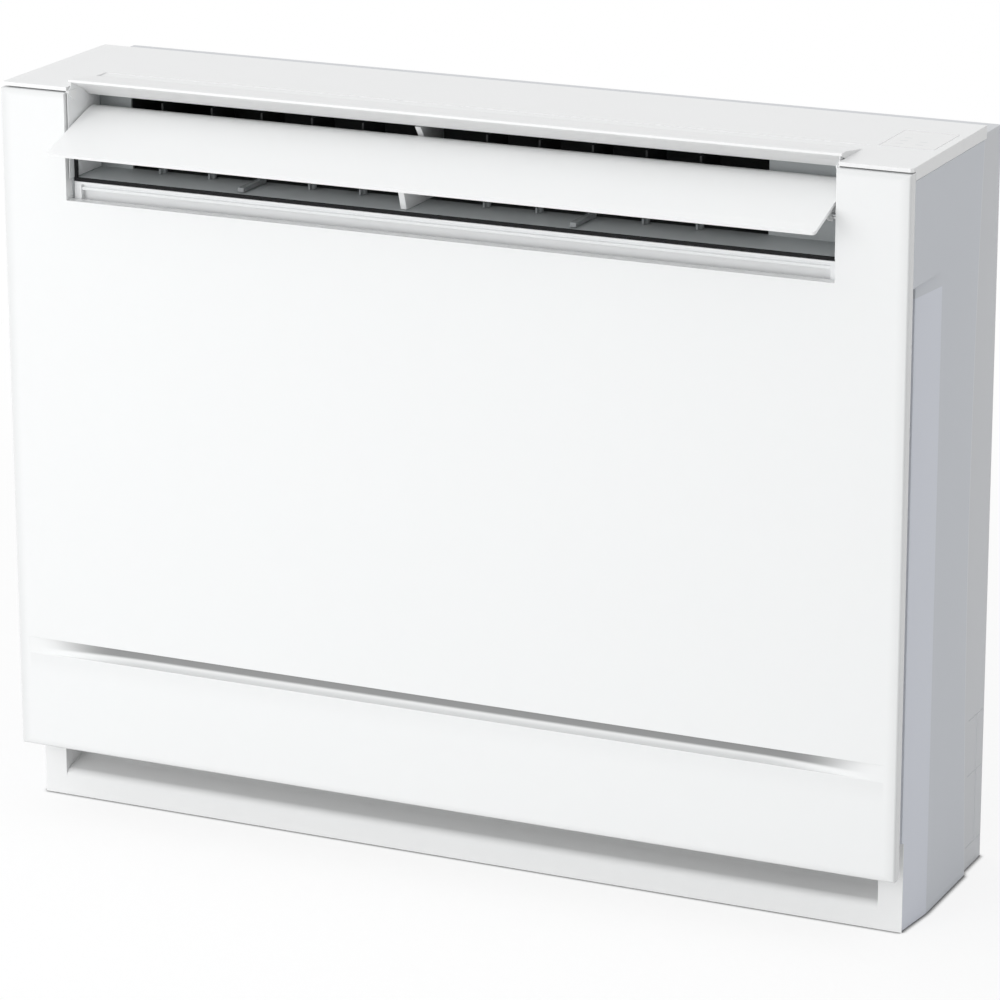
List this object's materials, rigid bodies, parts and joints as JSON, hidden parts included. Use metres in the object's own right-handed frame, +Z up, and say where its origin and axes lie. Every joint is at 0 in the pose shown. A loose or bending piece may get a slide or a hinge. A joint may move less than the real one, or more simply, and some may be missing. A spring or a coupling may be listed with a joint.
{
  "type": "floor console air conditioner",
  "caption": "Low floor-standing indoor air conditioner: flat front panel, open top flap over grey vanes, lower air scoop, with fan, coil, filters and controls inside.",
  "frame": {"origin": "on the floor under the middle of the body's 750 by 207 mm footprint", "axes": "+Z up, +X along the width to the right seen from the front, -Y out of the front"},
  "size_m": [0.75, 0.2412, 0.6],
  "materials": {
    "white_gloss": "glossy moulded plastic",
    "white_casing": "satin moulded plastic",
    "cool_white_casing": "fine textured moulded plastic",
    "duct_grey": "fine textured moulded plastic",
    "black_foam": "matte sealing strip",
    "black_plastic": "satin moulded plastic",
    "natural_plastic": "plain moulded plastic",
    "fan_plastic": "plain moulded plastic",
    "zinc_steel": "zinc plated sheet",
    "aluminium_fin": "plain fins",
    "copper": "bright drawn copper",
    "brass": "bright turned brass",
    "circuit_green": "lacquered board",
    "smoke_window": "polished window",
    "filter_net": "woven net in a moulded frame"
  },
  "bodies": {
    "casing": {"top_cover": "white_casing", "left_side_cover": "cool_white_casing", "right_side_cover": "cool_white_casing", "base": "white_casing", "rear_chassis": "white_casing", "outlet_frame": "white_casing", "seal_strip": "black_foam", "outlet_duct": "duct_grey", "duct_divider": "duct_grey", "flap_motor": "natural_plastic", "fan_casing": "natural_plastic", "bell_mouth_plate": "natural_plastic", "fan_motor": "zinc_steel", "motor_bracket": "zinc_steel", "fin_block": "aluminium_fin", "left_end_plate": "zinc_steel", "right_end_plate": "zinc_steel", "gas_pipe": "copper", "liquid_pipe": "copper", "gas_flare_nut": "brass", "liquid_flare_nut": "brass", "drain_pan": "natural_plastic", "damper_motor": "natural_plastic", "filter_frame": "white_casing", "electrical_box": "zinc_steel", "electrical_box_lid": "zinc_steel", "circuit_board": "circuit_green", "terminal_block": "black_plastic", "indicator_board": "circuit_green", "indicator_window": "smoke_window", "ion_unit": "black_plastic", "room_sensor": "black_plastic", "left_upper_screw": "zinc_steel", "left_lower_screw": "zinc_steel", "right_upper_screw": "zinc_steel", "right_lower_screw": "zinc_steel"},
    "panel": {"front_panel": "white_gloss"},
    "flap": {"air_flap": "white_gloss", "flap_left_pin": "zinc_steel", "flap_drive_shaft": "zinc_steel"},
    "fan": {"turbo_fan": "fan_plastic", "motor_shaft": "zinc_steel"},
    "left_filter": {"left_air_filter": "filter_net"},
    "right_filter": {"right_air_filter": "filter_net"},
    "damper": {"lower_damper": "natural_plastic"},
    "button": {"power_button": "white_gloss"},
    "left_vane_3": {"left_vane_3": "duct_grey"},
    "left_vane_1": {"left_vane_1": "duct_grey"},
    "left_vane_2": {"left_vane_2": "duct_grey"},
    "left_vane_4": {"left_vane_4": "duct_grey"},
    "left_vane_5": {"left_vane_5": "duct_grey"},
    "left_link_bar": {"left_link_bar": "black_plastic"},
    "right_vane_3": {"right_vane_3": "duct_grey"},
    "right_vane_1": {"right_vane_1": "duct_grey"},
    "right_vane_2": {"right_vane_2": "duct_grey"},
    "right_vane_4": {"right_vane_4": "duct_grey"},
    "right_vane_5": {"right_vane_5": "duct_grey"},
    "right_link_bar": {"right_link_bar": "black_plastic"}
  },
  "joints": [
    {"name": "panel_hinge", "type": "hinge", "parent": "casing", "child": "panel", "pos_m": [0, -0.084, 0.061], "axis": [1, 0, 0], "range_deg": [0, 30]},
    {"name": "flap_hinge", "type": "hinge", "parent": "casing", "child": "flap", "pos_m": [0, -0.0906, 0.5537], "axis": [1, 0, 0], "range_deg": [-12, 71]},
    {"name": "fan_spin", "type": "hinge", "parent": "casing", "child": "fan", "pos_m": [-0.0225, 0.06, 0.2975], "axis": [0, 1, 0], "continuous": true},
    {"name": "left_filter_slide", "type": "slide", "parent": "casing", "child": "left_filter", "axis": [0, 0, 1], "range_m": [0, 0.012]},
    {"name": "right_filter_slide", "type": "slide", "parent": "casing", "child": "right_filter", "axis": [0, 0, 1], "range_m": [0, 0.012]},
    {"name": "damper_hinge", "type": "hinge", "parent": "casing", "child": "damper", "pos_m": [0, -0.027, 0.103], "axis": [1, 0, 0], "range_deg": [0, 75]},
    {"name": "button_press", "type": "slide", "parent": "casing", "child": "button", "axis": [0, 1, 0], "range_m": [0, 0.0015], "stiffness_N_per_m": 400},
    {"name": "left_vane_3_hinge", "type": "hinge", "parent": "casing", "child": "left_vane_3", "pos_m": [-0.1735, -0.052, 0.5231], "axis": [0, 0, 1], "range_deg": [-35, 35]},
    {"name": "left_vane_1_hinge", "type": "hinge", "parent": "casing", "child": "left_vane_1", "pos_m": [-0.2605, -0.052, 0.5231], "axis": [0, 0, 1], "range_deg": [-35, 35]},
    {"name": "left_vane_2_hinge", "type": "hinge", "parent": "casing", "child": "left_vane_2", "pos_m": [-0.217, -0.052, 0.5231], "axis": [0, 0, 1], "range_deg": [-35, 35]},
    {"name": "left_vane_4_hinge", "type": "hinge", "parent": "casing", "child": "left_vane_4", "pos_m": [-0.13, -0.052, 0.5231], "axis": [0, 0, 1], "range_deg": [-35, 35]},
    {"name": "left_vane_5_hinge", "type": "hinge", "parent": "casing", "child": "left_vane_5", "pos_m": [-0.0865, -0.052, 0.5231], "axis": [0, 0, 1], "range_deg": [-35, 35]},
    {"name": "left_link_bar_pivot", "type": "hinge", "parent": "left_vane_3", "child": "left_link_bar", "pos_m": [-0.1735, -0.028, 0.5228], "axis": [0, 0, 1], "range_deg": [-35, 35]},
    {"name": "right_vane_3_hinge", "type": "hinge", "parent": "casing", "child": "right_vane_3", "pos_m": [0.105, -0.052, 0.5231], "axis": [0, 0, 1], "range_deg": [-35, 35]},
    {"name": "right_vane_1_hinge", "type": "hinge", "parent": "casing", "child": "right_vane_1", "pos_m": [0.018, -0.052, 0.5231], "axis": [0, 0, 1], "range_deg": [-35, 35]},
    {"name": "right_vane_2_hinge", "type": "hinge", "parent": "casing", "child": "right_vane_2", "pos_m": [0.0615, -0.052, 0.5231], "axis": [0, 0, 1], "range_deg": [-35, 35]},
    {"name": "right_vane_4_hinge", "type": "hinge", "parent": "casing", "child": "right_vane_4", "pos_m": [0.1485, -0.052, 0.5231], "axis": [0, 0, 1], "range_deg": [-35, 35]},
    {"name": "right_vane_5_hinge", "type": "hinge", "parent": "casing", "child": "right_vane_5", "pos_m": [0.192, -0.052, 0.5231], "axis": [0, 0, 1], "range_deg": [-35, 35]},
    {"name": "right_link_bar_pivot", "type": "hinge", "parent": "right_vane_3", "child": "right_link_bar", "pos_m": [0.105, -0.028, 0.5228], "axis": [0, 0, 1], "range_deg": [-35, 35]}
  ],
  "couplings": [
    {"joint": "left_vane_1_hinge", "follows": "left_vane_3_hinge", "ratio": 1},
    {"joint": "left_vane_2_hinge", "follows": "left_vane_3_hinge", "ratio": 1},
    {"joint": "left_vane_4_hinge", "follows": "left_vane_3_hinge", "ratio": 1},
    {"joint": "left_vane_5_hinge", "follows": "left_vane_3_hinge", "ratio": 1},
    {"joint": "left_link_bar_pivot", "follows": "left_vane_3_hinge", "ratio": -1},
    {"joint": "right_vane_1_hinge", "follows": "right_vane_3_hinge", "ratio": 1},
    {"joint": "right_vane_2_hinge", "follows": "right_vane_3_hinge", "ratio": 1},
    {"joint": "right_vane_4_hinge", "follows": "right_vane_3_hinge", "ratio": 1},
    {"joint": "right_vane_5_hinge", "follows": "right_vane_3_hinge", "ratio": 1},
    {"joint": "right_link_bar_pivot", "follows": "right_vane_3_hinge", "ratio": -1}
  ]
}
